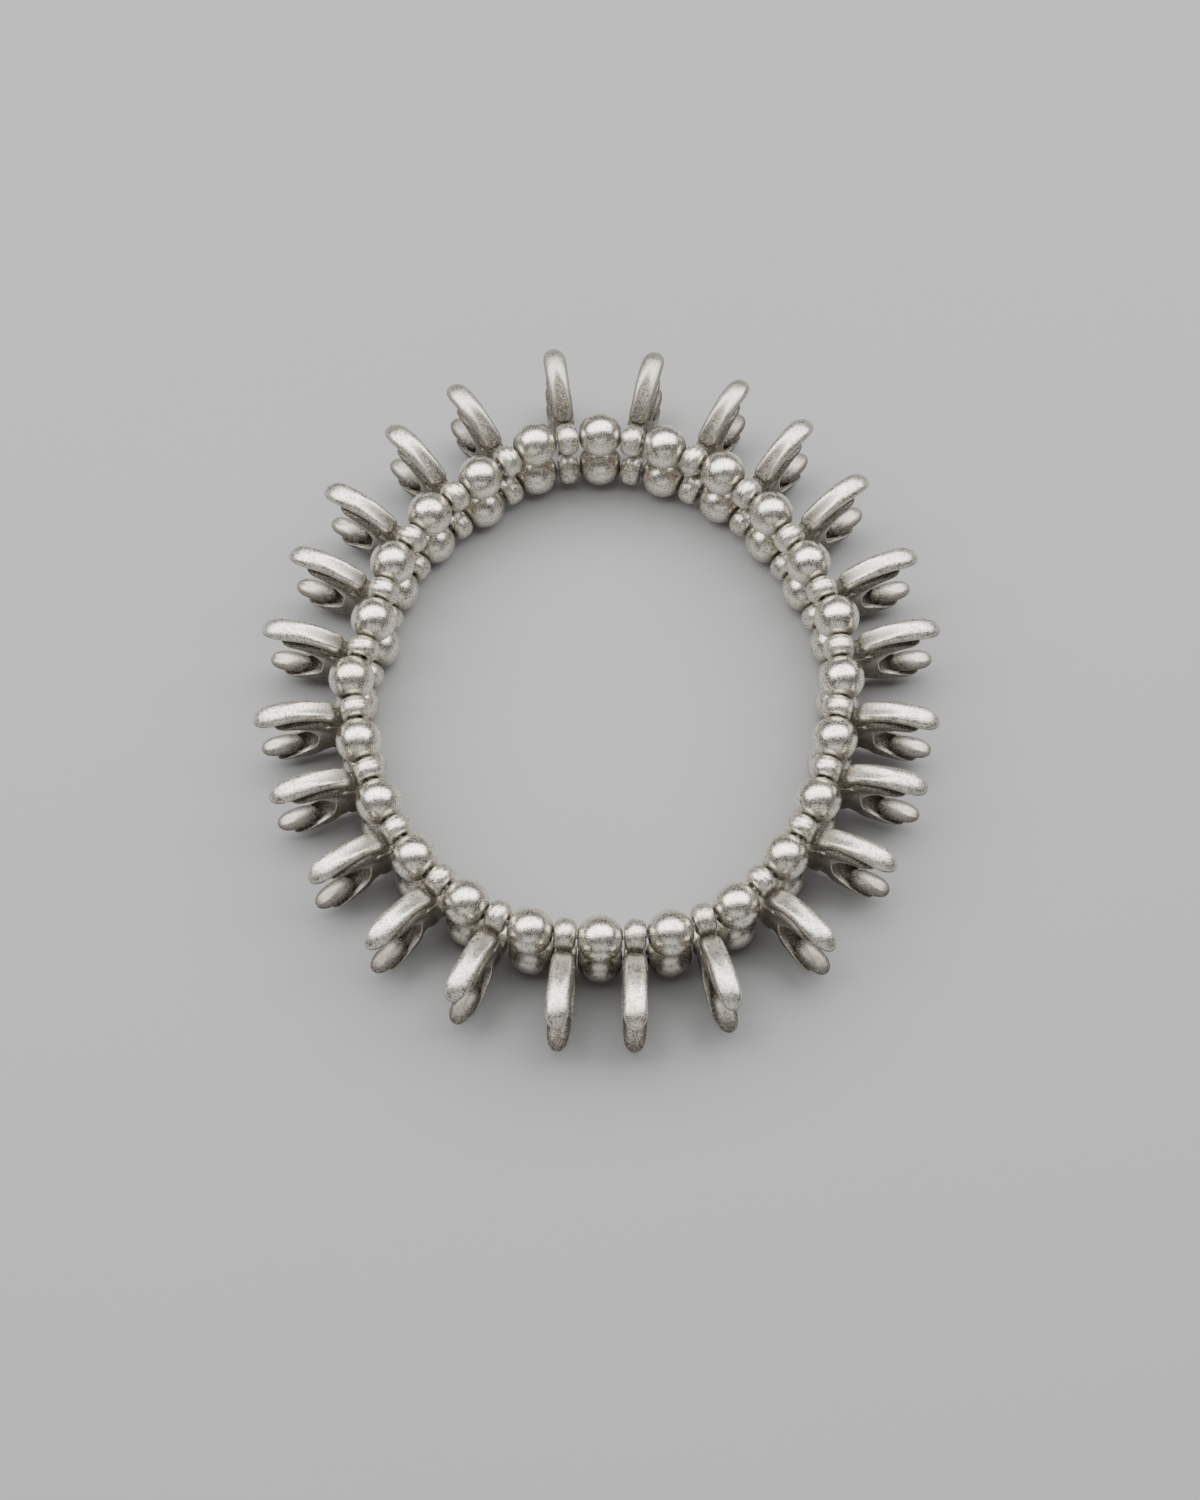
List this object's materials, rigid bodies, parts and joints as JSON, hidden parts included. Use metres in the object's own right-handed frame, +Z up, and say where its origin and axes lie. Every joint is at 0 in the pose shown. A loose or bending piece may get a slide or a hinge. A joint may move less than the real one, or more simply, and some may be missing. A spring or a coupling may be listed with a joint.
{
  "type": "stretch bracelet",
  "caption": "Stretch bracelet of round silver-toned beads on two stacked elastic cords, with forked claw-shaped charms between the beads that stand out all round.",
  "frame": {"origin": "middle of the bracelet's outline, on the surface that it lies on", "axes": "+Z up through the wrist opening, +X to the right and +Y to the back as the bracelet lies in the picture; charm_01 is the first charm anticlockwise from the back"},
  "size_m": [0.082, 0.0898, 0.0135],
  "materials": {
    "silver": "satin antique silver plate with dark recesses",
    "elastic": "matt clear elastic cord"
  },
  "bodies": {
    "root": {"charm_01": "silver", "charm_02": "silver", "charm_03": "silver", "charm_04": "silver", "charm_05": "silver", "charm_06": "silver", "charm_07": "silver", "charm_08": "silver", "charm_09": "silver", "charm_10": "silver", "charm_11": "silver", "charm_12": "silver", "charm_13": "silver", "charm_14": "silver", "charm_15": "silver", "charm_16": "silver", "charm_17": "silver", "charm_18": "silver", "charm_19": "silver", "charm_20": "silver", "charm_21": "silver", "charm_22": "silver", "charm_23": "silver", "charm_24": "silver", "upper_beads": "silver", "lower_beads": "silver", "upper_elastic": "elastic", "lower_elastic": "elastic"}
  },
  "joints": []
}
